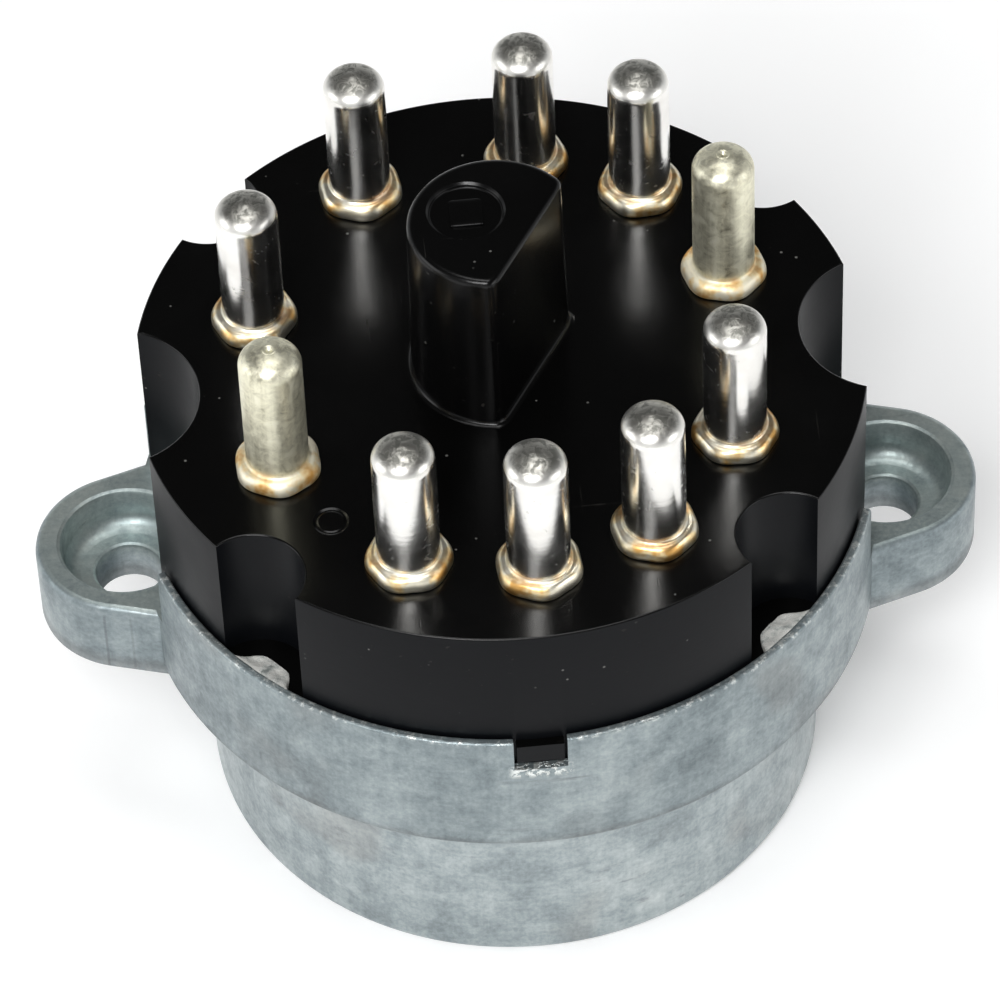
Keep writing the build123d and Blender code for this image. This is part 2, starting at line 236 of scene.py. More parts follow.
# ----------------------------------------------------------------- materials
class Mat:
    """A small helper for building node materials."""

    def __init__(self, name):
        self.m = bpy.data.materials.new(name)
        self.m.use_nodes = True
        self.t = self.m.node_tree
        self.b = self.t.nodes["Principled BSDF"]
        self.co = self.t.nodes.new("ShaderNodeTexCoord").outputs

    def link(self, a, b):
        self.t.links.new(a, b)

    def scaled(self, scale=(1, 1, 1), turn=(0, 0, 0), move=(0, 0, 0), source=None):
        n = self.t.nodes.new("ShaderNodeMapping")
        n.inputs["Scale"].default_value = scale
        n.inputs["Rotation"].default_value = [math.radians(v) for v in turn]
        n.inputs["Location"].default_value = move
        self.link(source or self.co["Object"], n.inputs["Vector"])
        return n.outputs["Vector"]

    def noise(self, scale, detail=3.0, rough=0.55, vector=None, distortion=0.0):
        n = self.t.nodes.new("ShaderNodeTexNoise")
        n.inputs["Scale"].default_value = scale
        n.inputs["Detail"].default_value = detail
        n.inputs["Roughness"].default_value = rough
        n.inputs["Distortion"].default_value = distortion
        self.link(vector or self.co["Object"], n.inputs["Vector"])
        return n.outputs["Fac"]

    def voronoi(self, scale, vector=None, feature="F1", out="Distance"):
        n = self.t.nodes.new("ShaderNodeTexVoronoi")
        n.feature = feature
        n.inputs["Scale"].default_value = scale
        self.link(vector or self.co["Object"], n.inputs["Vector"])
        return n.outputs[out]

    def ramp(self, fac, stops):
        n = self.t.nodes.new("ShaderNodeValToRGB")
        e = n.color_ramp.elements
        while len(e) > 1:
            e.remove(e[-1])
        for i, (pos, col) in enumerate(stops):
            el = e[0] if i == 0 else e.new(pos)
            el.position = pos
            el.color = (col, col, col, 1) if isinstance(col, (int, float)) else (*col, 1)
        self.link(fac, n.inputs["Fac"])
        return n.outputs["Color"]

    def math(self, op, a, b=None, clamp=False):
        n = self.t.nodes.new("ShaderNodeMath")
        n.operation, n.use_clamp = op, clamp
        for i, v in enumerate((a, b)):
            if v is None:
                continue
            if isinstance(v, (int, float)):
                n.inputs[i].default_value = v
            else:
                self.link(v, n.inputs[i])
        return n.outputs[0]

    def range(self, v, a, b, c=0.0, d=1.0, smooth=True):
        n = self.t.nodes.new("ShaderNodeMapRange")
        n.interpolation_type = "SMOOTHSTEP" if smooth else "LINEAR"
        for k, x in zip(("From Min", "From Max", "To Min", "To Max"), (a, b, c, d)):
            n.inputs[k].default_value = x
        self.link(v, n.inputs["Value"])
        return n.outputs["Result"]

    def mix(self, fac, a, b, kind="MIX"):
        n = self.t.nodes.new("ShaderNodeMix")
        n.data_type, n.blend_type = "RGBA", kind
        for key, v in ((0, fac), (6, a), (7, b)):
            if isinstance(v, (int, float)):
                n.inputs[key].default_value = v if key == 0 else (v, v, v, 1)
            elif isinstance(v, tuple):
                n.inputs[key].default_value = (*v, 1)
            else:
                self.link(v, n.inputs[key])
        return n.outputs[2]

    def axis(self, which, source=None):
        n = self.t.nodes.new("ShaderNodeSeparateXYZ")
        self.link(source or self.co["Object"], n.inputs[0])
        return n.outputs[which]

    def height(self):
        """Height above the CAD's datum, in metres."""
        return self.math("SUBTRACT", self.axis(2), FOOT * MM)

    def bump(self, height, strength, distance, normal=None):
        n = self.t.nodes.new("ShaderNodeBump")
        n.inputs["Strength"].default_value = strength
        n.inputs["Distance"].default_value = distance
        self.link(height, n.inputs["Height"])
        if normal is not None:
            self.link(normal, n.inputs["Normal"])
        return n.outputs["Normal"]

    def set(self, **kw):
        for k, v in kw.items():
            s = self.b.inputs[k.replace("_", " ")]
            if isinstance(v, (int, float)):
                s.default_value = v
            elif isinstance(v, tuple):
                s.default_value = (*v, 1) if len(v) == 3 and s.type == "RGBA" else v
            else:
                self.link(v, s)
        return self.m


def zinc():
    k = Mat("zinc_cast")
    clouds = k.noise(130, 4, 0.6)
    patches = k.noise(520, 5, 0.68, distortion=0.5)
    fine = k.noise(3000, 4, 0.65)
    streaks = k.noise(1500, 4, 0.65, k.scaled((1, 1, 0.10)))
    slant = k.noise(1300, 4, 0.65, k.scaled((0.14, 1, 1), (0, 33, 15)))
    drag = k.noise(800, 4, 0.65, k.scaled((0.10, 1, 1), (0, 38, 20)))
    v = k.math("MULTIPLY", clouds, 0.46)
    v = k.math("ADD", v, k.math("MULTIPLY", patches, 0.24))
    v = k.math("ADD", v, k.math("MULTIPLY", streaks, 0.15))
    v = k.math("ADD", v, k.math("MULTIPLY", slant, 0.16))
    v = k.math("ADD", v, k.math("MULTIPLY", k.math("SUBTRACT", fine, 0.5), 0.26))
    base = k.ramp(v, [(0.36, (0.195, 0.228, 0.240)), (0.47, (0.290, 0.333, 0.345)), (0.56, (0.385, 0.430, 0.437)), (0.70, (0.54, 0.58, 0.575))])
    # dark drag marks and a dull stain or two
    marks = k.math("MULTIPLY", k.range(drag, 0.60, 0.72), k.range(clouds, 0.46, 0.60))
    base = k.mix(k.math("MULTIPLY", marks, 0.50), base, (0.13, 0.135, 0.15))
    stain = k.math("MULTIPLY", k.range(k.noise(95, 2), 0.58, 0.70), 0.35)
    base = k.mix(stain, base, (0.215, 0.205, 0.195))
    z = k.height()
    # everything above the step is made a little darker than the body below; level upward faces below 18 mm are painted
    # paler, a painted sheen
    base = k.mix(k.range(z, 0.0151, 0.0157), base, k.mix(1.0, base, (0.74, 0.765, 0.775), "MULTIPLY"))
    up = k.range(k.axis(2, k.co["Normal"]), 0.80, 0.97)
    seat_sheen = k.math("MULTIPLY", up, k.range(z, 0.0186, 0.0180))
    base = k.mix(seat_sheen, base, k.mix(1.0, base, (1.50, 1.50, 1.42), "MULTIPLY"))
    # the counterbore's wall is painted lighter: a painted reflection
    rx = k.math("SUBTRACT", k.math("ABSOLUTE", k.axis(0)), 0.025)
    ry = k.axis(1)
    rr = k.math("SQRT", k.math("ADD", k.math("MULTIPLY", rx, rx), k.math("MULTIPLY", ry, ry)))
    bore_wall_sheen = k.math("MULTIPLY", k.range(rr, 0.00455, 0.00435), k.math("SUBTRACT", 1.0, up))
    bore_wall_sheen = k.math("MULTIPLY", bore_wall_sheen, k.math("MULTIPLY", k.range(z, 0.0166, 0.0178), k.range(z, 0.0211, 0.0207)))
    base = k.mix(bore_wall_sheen, base, k.mix(1.0, base, (1.45, 1.45, 1.38), "MULTIPLY"))
    # level faces at the ear tops are painted paler: a painted sheen
    land_sheen = k.math("MULTIPLY", up, k.math("MULTIPLY", k.range(z, 0.0202, 0.0205), k.range(z, 0.0214, 0.0210)))
    base = k.mix(land_sheen, base, k.mix(1.0, base, (1.42, 1.40, 1.32), "MULTIPLY"))
    xs, ys = k.axis(0), k.axis(1)
    for at, deep in ((-0.0268, 0.45), (-0.0251, 0.25)):
        line = k.range(k.math("ABSOLUTE", k.math("SUBTRACT", xs, at)), 0.00013, 0.00003)
        line = k.math("MULTIPLY", line, k.math("MULTIPLY", k.range(ys, -0.0045, -0.0052), k.range(z, 0.0202, 0.0196)))
        base = k.mix(k.math("MULTIPLY", line, deep), base, (0.10, 0.11, 0.12))
    # the groove under the step is painted dark: painted shade under the step
    zz = k.math("ADD", z, k.math("MULTIPLY", k.math("SUBTRACT", patches, 0.5), 0.0012))
    groove_shade = k.math("MULTIPLY", k.range(zz, 0.0134, 0.0144), k.range(zz, 0.0165, 0.0154))
    base = k.mix(k.math("MULTIPLY", groove_shade, 0.42), base, (0.12, 0.115, 0.115))
    # the rim edge is painted brighter in patches: partly worn metal, partly painted glints
    burr = k.noise(2100, 3, 0.7)
    rim_wear_glint = k.math("MULTIPLY", k.range(z, 0.02530, 0.02558), k.range(burr, 0.50, 0.66, 0.0, 0.75))
    # and where the notch was punched, the same: peened metal with painted glints
    x = k.math("ABSOLUTE", k.axis(0))
    punch_wear_glint = k.math("MULTIPLY", k.range(x, 0.0022, 0.0016), k.math("MULTIPLY", k.range(z, 0.02215, 0.0226), k.range(z, 0.0236, 0.0232)))
    punch_wear_glint = k.math("MULTIPLY", k.math("MULTIPLY", punch_wear_glint, k.range(k.axis(1), -0.0234, -0.0238)), k.range(burr, 0.47, 0.56))
    # worn carries both the real wear and the painted glints of the rim edge and the notch
    worn = k.math("MAXIMUM", rim_wear_glint, punch_wear_glint)
    base = k.mix(k.math("MULTIPLY", worn, 0.8), base, (0.86, 0.89, 0.86))
    rough = k.range(v, 0.36, 0.66, 0.50, 0.34, smooth=False)
    rough = k.math("SUBTRACT", rough, k.math("MULTIPLY", worn, 0.12))
    rough = k.math("ADD", rough, k.math("MULTIPLY", groove_shade, 0.12))
    h = k.math("ADD", k.math("MULTIPLY", patches, 0.5), k.math("MULTIPLY", fine, 0.45))
    h = k.math("ADD", h, k.math("MULTIPLY", streaks, 0.5))
    h = k.math("ADD", h, k.math("MULTIPLY", slant, 0.4))
    pits = k.range(k.voronoi(900), 0.05, 0.16)
    pits = k.math("ADD", pits, k.range(k.noise(500, 2), 0.60, 0.50), clamp=True)
    n = k.bump(h, 0.45, 0.00008)
    n = k.bump(pits, 0.18, 0.00006, n)
    n = k.bump(k.math("MULTIPLY", k.math("MAXIMUM", k.range(z, 0.0252, 0.0256, 0.0, 0.5), punch_wear_glint), burr), 0.6, 0.00025, n)
    return k.set(Base_Color=base, Metallic=0.74, Roughness=rough, Normal=n)


def peened_glinting():
    k = Mat("zinc_peened_glints")
    v = k.noise(1250, 4, 0.6, distortion=0.5)
    # the near-white patches in this colour are painted glints over the peened metal's grey
    base = k.ramp(v, [(0.33, (0.34, 0.37, 0.36)), (0.46, (0.86, 0.88, 0.84)), (0.56, (1.0, 1.0, 0.95))])
    h = k.math("ADD", k.math("MULTIPLY", k.voronoi(900), 0.5), k.math("MULTIPLY", k.noise(2600, 3), 0.5))
    return k.set(Base_Color=base, Metallic=0.42, Roughness=k.range(v, 0.3, 0.7, 0.36, 0.18), Normal=k.bump(h, 0.75, 0.00016))


def black(name, top_rough, side_rough, top_base, side_base):
    """Glossy thermoset moulding: polished top face, satin walls."""
    k = Mat(name)
    nz = k.axis(2, k.co["Normal"])
    top = k.range(nz, 0.80, 0.97)
    haze = k.noise(120, 4, 0.6)
    grain = k.noise(5200, 3, 0.6)
    scr1 = k.noise(1700, 2, 0.5, k.scaled((1, 0.03, 1), (0, 0, 28)))
    scr2 = k.noise(1500, 2, 0.5, k.scaled((0.03, 1, 1), (0, 0, -17)))
    scratch = k.math("MAXIMUM", k.range(scr1, 0.70, 0.76), k.range(scr2, 0.71, 0.77))
    scratch = k.math("MULTIPLY", scratch, k.range(haze, 0.5, 0.62))
    dust = k.range(k.voronoi(760), 0.085, 0.050)
    dust = k.math("MULTIPLY", dust, k.range(k.noise(330, 1), 0.55, 0.62))
    # the base colour is split by facing, tops against walls: painted light and shade
    base = k.mix(top, side_base, top_base)
    base = k.mix(k.math("MULTIPLY", scratch, 0.10), base, (0.16, 0.15, 0.13))
    base = k.mix(k.math("MULTIPLY", dust, 0.35), base, (0.32, 0.32, 0.30))
    rough = k.math("ADD", k.range(top, 0, 1, side_rough, top_rough, smooth=False), k.math("MULTIPLY", k.range(haze, 0.35, 0.75), 0.07))
    rough = k.math("ADD", rough, k.math("MULTIPLY", scratch, 0.25))
    h = k.math("ADD", k.math("MULTIPLY", grain, 0.45), k.math("MULTIPLY", scratch, -1.0))
    h = k.math("ADD", h, k.math("MULTIPLY", k.noise(1500, 3, 0.6, k.scaled((0.25, 1, 1), (0, 0, 12))), 0.8))
    h = k.math("ADD", h, k.math("MULTIPLY", k.noise(260, 2), 0.9))
    return k.set(Base_Color=base, Roughness=rough, IOR=1.53, Normal=k.bump(h, 0.22, 0.00004))


def nickel(name, dull):
    """Plated pin. The collar at its foot shows the warm brass under thin plating."""
    k = Mat(name)
    z = k.height()
    cloud = k.noise(420, 4, 0.6)
    lines = k.noise(1500, 3, 0.6, k.scaled((1, 1, 0.05)))
    hoops = k.noise(2400, 2, 0.6, k.scaled((0.04, 0.04, 1)))
    spots = k.noise(1300, 4, 0.65, distortion=0.8)
    # collar height, wavering a little
    zz = k.math("ADD", z, k.math("MULTIPLY", k.math("SUBTRACT", k.noise(900, 2), 0.5), 0.0004))
    foot = k.range(zz, 0.03665, 0.03585)
    if dull:
        worn = k.math("MULTIPLY", k.range(z, (PIN_TOP - 1.5) * MM, (PIN_TOP - 0.6) * MM), k.range(k.noise(1500, 4, 0.7, distortion=0.6), 0.44, 0.60))
        shaft = k.ramp(k.math("ADD", k.math("MULTIPLY", spots, 0.6), k.math("MULTIPLY", lines, 0.4)),
                       [(0.30, (0.34, 0.32, 0.23)), (0.42, (0.68, 0.655, 0.50)), (0.55, (0.86, 0.835, 0.66)), (0.75, (0.95, 0.93, 0.80))])
        shaft = k.mix(k.math("MULTIPLY", worn, 0.55), shaft, (0.36, 0.345, 0.27))
        rough = k.math("ADD", k.range(spots, 0.3, 0.7, 0.30, 0.46, smooth=False), k.math("MULTIPLY", lines, 0.08))
        h = k.math("ADD", k.math("MULTIPLY", lines, 0.7), k.math("MULTIPLY", spots, 0.6))
        strength = 0.35
    else:
        shaft = k.ramp(cloud, [(0.25, (0.80, 0.78, 0.74)), (0.6, (0.95, 0.94, 0.91)), (0.85, (0.98, 0.97, 0.95))])
        shaft = k.mix(k.math("MULTIPLY", k.range(spots, 0.66, 0.74), 0.5), shaft, (0.28, 0.25, 0.20))
        rough = k.math("ADD", k.range(cloud, 0.3, 0.75, 0.17, 0.26, smooth=False), k.math("MULTIPLY", k.range(spots, 0.60, 0.74), 0.20))
        # the end is turned, tumbled and pitted
        tip = k.range(z, (PIN_TOP - 1.18) * MM, (PIN_TOP - 0.85) * MM)
        face = k.range(z, (PIN_TOP - 0.75) * MM, (PIN_TOP - 0.25) * MM)
        pits = k.range(k.noise(1700, 4, 0.7, distortion=0.6), 0.40, 0.62)
        rough = k.math("ADD", rough, k.math("MULTIPLY", tip, 0.13))
        rough = k.math("ADD", rough, k.math("MULTIPLY", face, k.range(pits, 0, 1, 0.0, 0.12)))
        shaft = k.mix(k.math("MULTIPLY", tip, 0.45), shaft, (0.70, 0.69, 0.64))
        shaft = k.mix(k.math("MULTIPLY", face, 0.92), shaft, k.ramp(pits, [(0.2, (0.46, 0.45, 0.41)), (0.9, (0.17, 0.17, 0.15))]))
        h = k.math("ADD", k.math("MULTIPLY", lines, 0.7), k.math("MULTIPLY", hoops, 0.5))
        h = k.math("ADD", h, k.math("MULTIPLY", spots, 0.6))
        h = k.math("ADD", h, k.math("MULTIPLY", k.math("MULTIPLY", face, pits), -1.8))
        strength = 0.16
    brass = k.ramp(k.noise(520, 3, 0.6), [(0.38, (0.74, 0.42, 0.13)), (0.47, (0.93, 0.74, 0.42)), (0.56, (0.98, 0.92, 0.75))])
    base = k.mix(foot, shaft, brass)
    rough = k.math("ADD", rough, k.math("MULTIPLY", foot, 0.16))
    return k.set(Base_Color=base, Metallic=k.range(foot, 0, 1, 0.84, 0.97) if dull else 1.0, Roughness=rough, Normal=k.bump(h, strength, 0.00005))


def metal(name, low, high, rough, scale=(1, 1, 0.06), metallic=1.0, bump=0.15):
    """Worked metal with a directional finish."""
    k = Mat(name)
    lines = k.noise(1600, 3, 0.6, k.scaled(scale))
    cloud = k.noise(350, 4, 0.6)
    v = k.math("ADD", k.math("MULTIPLY", lines, 0.5), k.math("MULTIPLY", cloud, 0.5))
    base = k.ramp(v, [(0.3, low), (0.7, high)])
    h = k.math("ADD", lines, k.math("MULTIPLY", k.noise(3000, 2), 0.5))
    return k.set(Base_Color=base, Metallic=metallic, Roughness=k.range(v, 0.3, 0.7, rough + 0.08, rough - 0.05, smooth=False), Normal=k.bump(h, bump, 0.00005))


def moulded(name, low, high, rough):
    """Filled moulding: flecks and a fine grain."""
    k = Mat(name)
    fleck = k.noise(1400, 4, 0.7, distortion=0.7)
    cloud = k.noise(240, 3)
    v = k.math("ADD", k.math("MULTIPLY", fleck, 0.6), k.math("MULTIPLY", cloud, 0.4))
    base = k.ramp(v, [(0.32, low), (0.68, high)])
    return k.set(Base_Color=base, Roughness=k.range(cloud, 0.3, 0.7, rough, rough + 0.12, smooth=False), Normal=k.bump(k.noise(4200, 3), 0.25, 0.00004))


M_ZINC = zinc()
M_PEEN_GLINT = peened_glinting()
M_BLACK = black("black_moulding", 0.19, 0.20, (0.0012, 0.0012, 0.0012), (0.0014, 0.0014, 0.0015))
M_WALL_SHADED = black("black_moulding_wall_shaded", 0.30, 0.34, (0.0013, 0.0013, 0.0013), (0.0029, 0.0033, 0.0042))
M_BLACK.node_tree.nodes["Principled BSDF"].inputs["Specular IOR Level"].default_value = 0.23
# the walls' copy of the moulding has its reflection turned down: painted shade on the plate's walls
M_WALL_SHADED.node_tree.nodes["Principled BSDF"].inputs["Specular IOR Level"].default_value = 0.095
M_PIN = nickel("nickel_bright", False)
M_DULL = nickel("nickel_dull", True)
M_STEEL = metal("plated_steel", (0.42, 0.42, 0.40), (0.66, 0.66, 0.63), 0.30)
M_SPRING = metal("spring_wire", (0.28, 0.28, 0.29), (0.52, 0.52, 0.53), 0.28, (1, 1, 0.3))
M_BALL = metal("ball", (0.68, 0.68, 0.69), (0.82, 0.82, 0.83), 0.10, (1, 1, 1), bump=0.03)
M_BRASS = metal("contact_brass", (0.66, 0.48, 0.22), (0.88, 0.70, 0.38), 0.24, (1, 0.08, 1))
M_ROTOR = moulded("brown_phenolic", (0.055, 0.022, 0.010), (0.15, 0.065, 0.030), 0.36)
M_NYLON = moulded("nylon", (0.66, 0.63, 0.54), (0.82, 0.80, 0.72), 0.42)
M_RUBBER = moulded("seal_rubber", (0.012, 0.012, 0.012), (0.030, 0.030, 0.030), 0.55)

for names, mat in (
    (("drive_shaft", "detent_ring"), M_STEEL),
    (("retaining_clip", "return_spring", "bridge_spring_1", "bridge_spring_2", "bridge_spring_3", "detent_spring_1", "detent_spring_2"), M_SPRING),
    (("detent_ball_1", "detent_ball_2"), M_BALL),
    (("contact_bridge_1", "contact_bridge_2", "contact_bridge_3"), M_BRASS),
    (("rotor",), M_ROTOR), (("thrust_washer",), M_NYLON), (("shaft_seal",), M_RUBBER),
    (("housing",), M_ZINC), (("terminal_plate",), M_BLACK),
    (tuple("terminal_pin_" + p[0] for p in PINS if p[0] not in DULL), M_PIN),
    (tuple("terminal_pin_" + p for p in DULL), M_DULL),
):
    for n in names:
        me = NODES[n].data
        if len(me.materials):
            for i in range(len(me.materials)):
                me.materials[i] = mat
        else:
            me.materials.append(mat)


def dress(ob, mat, body, slot_name, *stands_for):
    ob.data.materials.clear()
    ob.data.materials.append(mat)
    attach(ob, body)
    if stands_for:
        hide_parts(*stands_for)
    return ob


# ------------------------------------------------------------------- housing
shell = lathe(
    "cast_housing",
    rounded(
        [
            (R_BORE, UNDER_DEPTH, 0.25), (R_UNDER, UNDER_DEPTH, 0.4), (R_UNDER, -FOOT, 0.35),
            (R_LOW, -FOOT, 0.9), (R_LOW, Z_RELIEF, 0.12), (R_RELIEF, Z_RELIEF + 0.2, 0.12), (R_RELIEF, Z_STEP - 0.4, 0.1),
            (R_LOW + 0.35, Z_STEP, 0.15), (R_OUT, Z_STEP, 0.5), (R_OUT, Z_RIM, 0.22),
            (R_RIM_IN, Z_RIM, 0.15), (R_RIM_IN, Z_SEAT, 0.1), (R_SPIGOT_BORE, Z_SEAT, 0.1),
            (R_SPIGOT_BORE, Z_SHELF, 0.2), (R_CAV, Z_SHELF, 0.2), (R_CAV, Z_FLOOR, 0.3),
            (8.7, Z_FLOOR), (8.7, Z_FLOOR - 1.0), (6.999, Z_FLOOR - 1.0),
        ]
    ),
    320,
)


def ear_outline(sign, inset, n=40):
    """Round end with sides flaring toward the body; inset shrinks it all round."""
    r = EAR_R - inset
    t = math.radians(EAR_FLARE)
    a = 90 - EAR_FLARE
    end = arc(EAR_X, 0, r, -a, a, n)
    x_in = 19.6
    run = (EAR_X + r * math.sin(t)) - x_in
    y_in = r * math.cos(t) + run * math.tan(t)
    pts = [(x_in, -y_in)] + end + [(x_in, y_in)]
    return [(sign * px, py) for px, py in pts]


for sign in (1, -1):
    levels, rr = [], 0.5
    for k in range(5):
        t = math.radians(90 * k / 4)
        levels.append((ear_outline(sign, rr * (1 - math.sin(t))), EAR_BOT + rr * (1 - math.cos(t))))
    for k in range(5):
        t = math.radians(90 * k / 4)
        levels.append((ear_outline(sign, rr * (1 - math.cos(t))), EAR_TOP - rr * (1 - math.sin(t))))
    ear = stack("ear", levels)
    # keep the ear out of the cavities
    boolean(ear, lathe("t", [(0, 0), (R_LOW - 0.6, 0), (R_LOW - 0.6, Z_STEP + 0.6), (R_OUT - 1.6, Z_STEP + 0.6), (R_OUT - 1.6, 30), (0, 30)], 160))
    boolean(shell, ear, "UNION")
    x = sign * EAR_X
    mid = 0 if sign == 1 else 180
    # the rim stops short of the ear
    boolean(shell, sector_tool(R_RIM_IN - 0.1, 33, mid - RIM_GAP_HALF, mid + RIM_GAP_HALF, EAR_TOP + 0.007, Z_RIM + 1))
    boolean(shell, lathe("t", [(0, EAR_TOP + 0.004), (5.83, EAR_TOP + 0.004), (5.83, 31), (0, 31)], 96, x))
    zb = EAR_TOP - CBORE_DEPTH
    bore = lathe(
        "t",
        rounded([(0, zb), (CBORE_R, zb, 1.1), (CBORE_R, EAR_TOP - 0.28), (CBORE_R + 0.10, EAR_TOP - 0.09),
                 (CBORE_R + 0.34, EAR_TOP + 0.02), (CBORE_R + 0.34, 30), (0, 30)], 6),
        96, x,
    )
    boolean(shell, bore)
    hole = lathe(
        "t",
        [(0, EAR_BOT - 1), (HOLE_R + 0.25, EAR_BOT - 1), (HOLE_R + 0.25, EAR_BOT), (HOLE_R + 0.06, EAR_BOT + 0.12),
         (HOLE_R, EAR_BOT + 0.3), (HOLE_R, zb - 0.3), (HOLE_R + 0.07, zb - 0.1), (HOLE_R + 0.3, zb + 0.05), (HOLE_R + 0.3, 30), (0, 30)],
        64, x,
    )
    boolean(shell, hole)

# the groove under the step stops under the ears
for mid in (0, 180):
    boolean(shell, sector_tool(R_RELIEF - 0.45, R_LOW - 0.03, mid - 22.3, mid + 22.3, Z_RELIEF - 0.23, Z_STEP + 0.27), "UNION")
boolean(shell, box_tool(-NOTCH_W / 2, NOTCH_W / 2, -R_OUT - 1, -R_RIM_IN + 0.3, NOTCH_BOT, Z_RIM + 1))
boolean(shell, box_tool(R_CAV - 0.6, R_CAV + 0.75, -0.75, 0.75, 11.4, 13.0, 20))
shade(shell, 34)
dress(shell, M_ZINC, "case", "zinc_casting", "housing")


def wobble(i, j, seed):
    """Fixed pseudo-random number from two integers."""
    v = math.sin(i * 12.9898 + j * 78.233 + seed * 37.719) * 43758.5453
    return v - math.floor(v)


# staking lugs: rim metal hammered in over the plate's flange
for n, (a, deep, r_arc) in enumerate(NARROW):
    nu, nv = 30, 14
    top, verts, faces = [], [], []
    for j in range(nv + 1):
        for i in range(nu + 1):
            u, v = i / nu, j / nv
            half = 5.6 + 0.5 * (wobble(3, n, 1) - 0.5)
            ang = a + half * (2 * u - 1) * (1 - 0.10 * v)
            edge = min(u, 1 - u) * 2
            inner = 22.12 + 1.25 * (1 - min(1, edge * 1.6)) ** 2 + 0.07 * (wobble(i // 4, n, 2) - 0.5)
            r = (R_RIM_IN + 0.1) * (1 - v) + inner * v
            # two broad hammer facets, sloping down to the inner lip
            dent = 0
            for q in range(2):
                cu, cv = 0.30 + 0.40 * q + 0.10 * (wobble(q, n, 3) - 0.5), 0.50 + 0.25 * (wobble(q, n, 4) - 0.5)
                d2 = ((u - cu) / 0.19) ** 2 + ((v - cv) / 0.40) ** 2
                dent = max(dent, math.exp(-d2 * 1.1))
            z = Z_RIM - 0.02 - 0.26 * dent - 0.42 * v ** 2 + 0.015 * (wobble(i, j, n + 5) - 0.5)
            top.append((ang, r, min(max(z, Z_FLANGE + 0.12), Z_RIM - 0.01)))
    for ang, r, z in top:
        verts.append((*polar(r, ang), z))
    for ang, r, z in top:
        verts.append((*polar(r, ang), Z_FLANGE + 0.02))
    w, total = nu + 1, (nu + 1) * (nv + 1)
    for j in range(nv):
        for i in range(nu):
            q = j * w + i
            faces.append((q, q + 1, q + w + 1, q + w))
            faces.append((q + total, q + w + total, q + w + 1 + total, q + 1 + total))
    ring_ids = [i for i in range(w)] + [j * w + nu for j in range(1, nv + 1)] + [nv * w + i for i in range(nu - 1, -1, -1)] + [j * w for j in range(nv - 1, 0, -1)]
    for p, q in zip(ring_ids, ring_ids[1:] + ring_ids[:1]):
        faces.append((p, p + total, q + total, q))
    lug = make(f"staking_lug_{n + 1}", verts, faces)
    shade(lug, 50)
    dress(lug, M_PEEN_GLINT, "case", "zinc_casting")

# ------------------------------------------------------------ terminal plate
FIL = 0.13
top_round = [(R_PLATE - FIL + FIL * math.sin(math.radians(t)), Z_FACE - FIL + FIL * math.cos(math.radians(t))) for t in (0, 22.5, 45, 67.5, 90)]
plate = lathe("moulded_plate", [(0, Z_SEAT - 0.02), (R_PLATE - 0.03, Z_SEAT - 0.02)] + top_round[::-1] + [(0, Z_FACE)], 480)


def scallop_tool(angle, deep, r, z0, seg):
    """Upright cutter whose mouth flares to round the scallop's top edge."""
    x, y = polar(deep + r, angle)
    prof = [(0, z0), (r, z0), (r, Z_FACE - FIL)]
    for t in (22.5, 45, 67.5, 88):
        q = math.radians(t)
        prof.append((r + FIL * (1 - math.cos(q)), Z_FACE - FIL + FIL * math.sin(q)))
    prof += [(r + FIL, Z_FACE + 0.001), (r + FIL, Z_FACE + 2), (0, Z_FACE + 2)]
    return lathe("t", prof, seg, x, y)


for a, deep, r in WIDE:
    boolean(plate, scallop_tool(a, deep, r, Z_WEB, 160))
    low = lathe("t", [(0, Z_SEAT - 1), (r, Z_SEAT - 1), (r, Z_WEB + 0.5), (0, Z_WEB + 0.5)], 160, *polar(deep + r, a))
    boolean(low, lathe("t2", [(0, 15), (R_SPIGOT, 15), (R_SPIGOT, 30), (0, 30)], 200))
    boolean(plate, low)
for a, deep, r in NARROW:
    boolean(plate, scallop_tool(a, deep, r, Z_FLANGE, 120))

spigot = lathe("s", [(R_SKIRT_IN, Z_SKIRT), (R_SPIGOT, Z_SKIRT), (R_SPIGOT, Z_SEAT + 0.3), (R_SKIRT_IN, Z_SEAT + 0.3)], 256)
for sign in (1, -1):
    boolean(spigot, lathe("t", [(0, 15), (CBORE_R + 0.05, 15), (CBORE_R + 0.05, Z_SEAT), (0, Z_SEAT)], 96, sign * EAR_X))
boolean(plate, spigot, "UNION")
boolean(plate, box_tool(-1.5, 1.5, -R_OUT + 0.12, -R_PLATE + 0.6, 23.75, 25.25), "UNION")


def d_outline(r, flat, corner=0.45, n=64):
    """D shape: circle cut by a flat, with its two corners rounded."""
    half = math.degrees(math.acos(flat / r))
    pts = [(px, py) for px, py in arc(0, 0, r, half + 4.5, 360 - half - 4.5, n)]
    y = r * math.sin(math.radians(half))
    e0, e1 = pts[-1], pts[0]
    low = (flat, -(y - 1.0))
    high = (flat, y - 1.0)

    def blend_corner(p, c, q, m=7):
        return [((1 - t) ** 2 * p[0] + 2 * t * (1 - t) * c[0] + t * t * q[0],
                 (1 - t) ** 2 * p[1] + 2 * t * (1 - t) * c[1] + t * t * q[1]) for t in [k / m for k in range(1, m)]]

    out = pts + blend_corner(e0, (flat, -y), low) + [low, high] + blend_corner(high, (flat, y), e1)
    c, s = math.cos(math.radians(POST_ANG)), math.sin(math.radians(POST_ANG))
    return [(c * px - s * py, s * px + c * py) for px, py in out]


def post_at(z):
    shrink = (z - Z_FACE) * math.tan(math.radians(POST_DRAFT))
    return POST_R - shrink, POST_FLAT - shrink


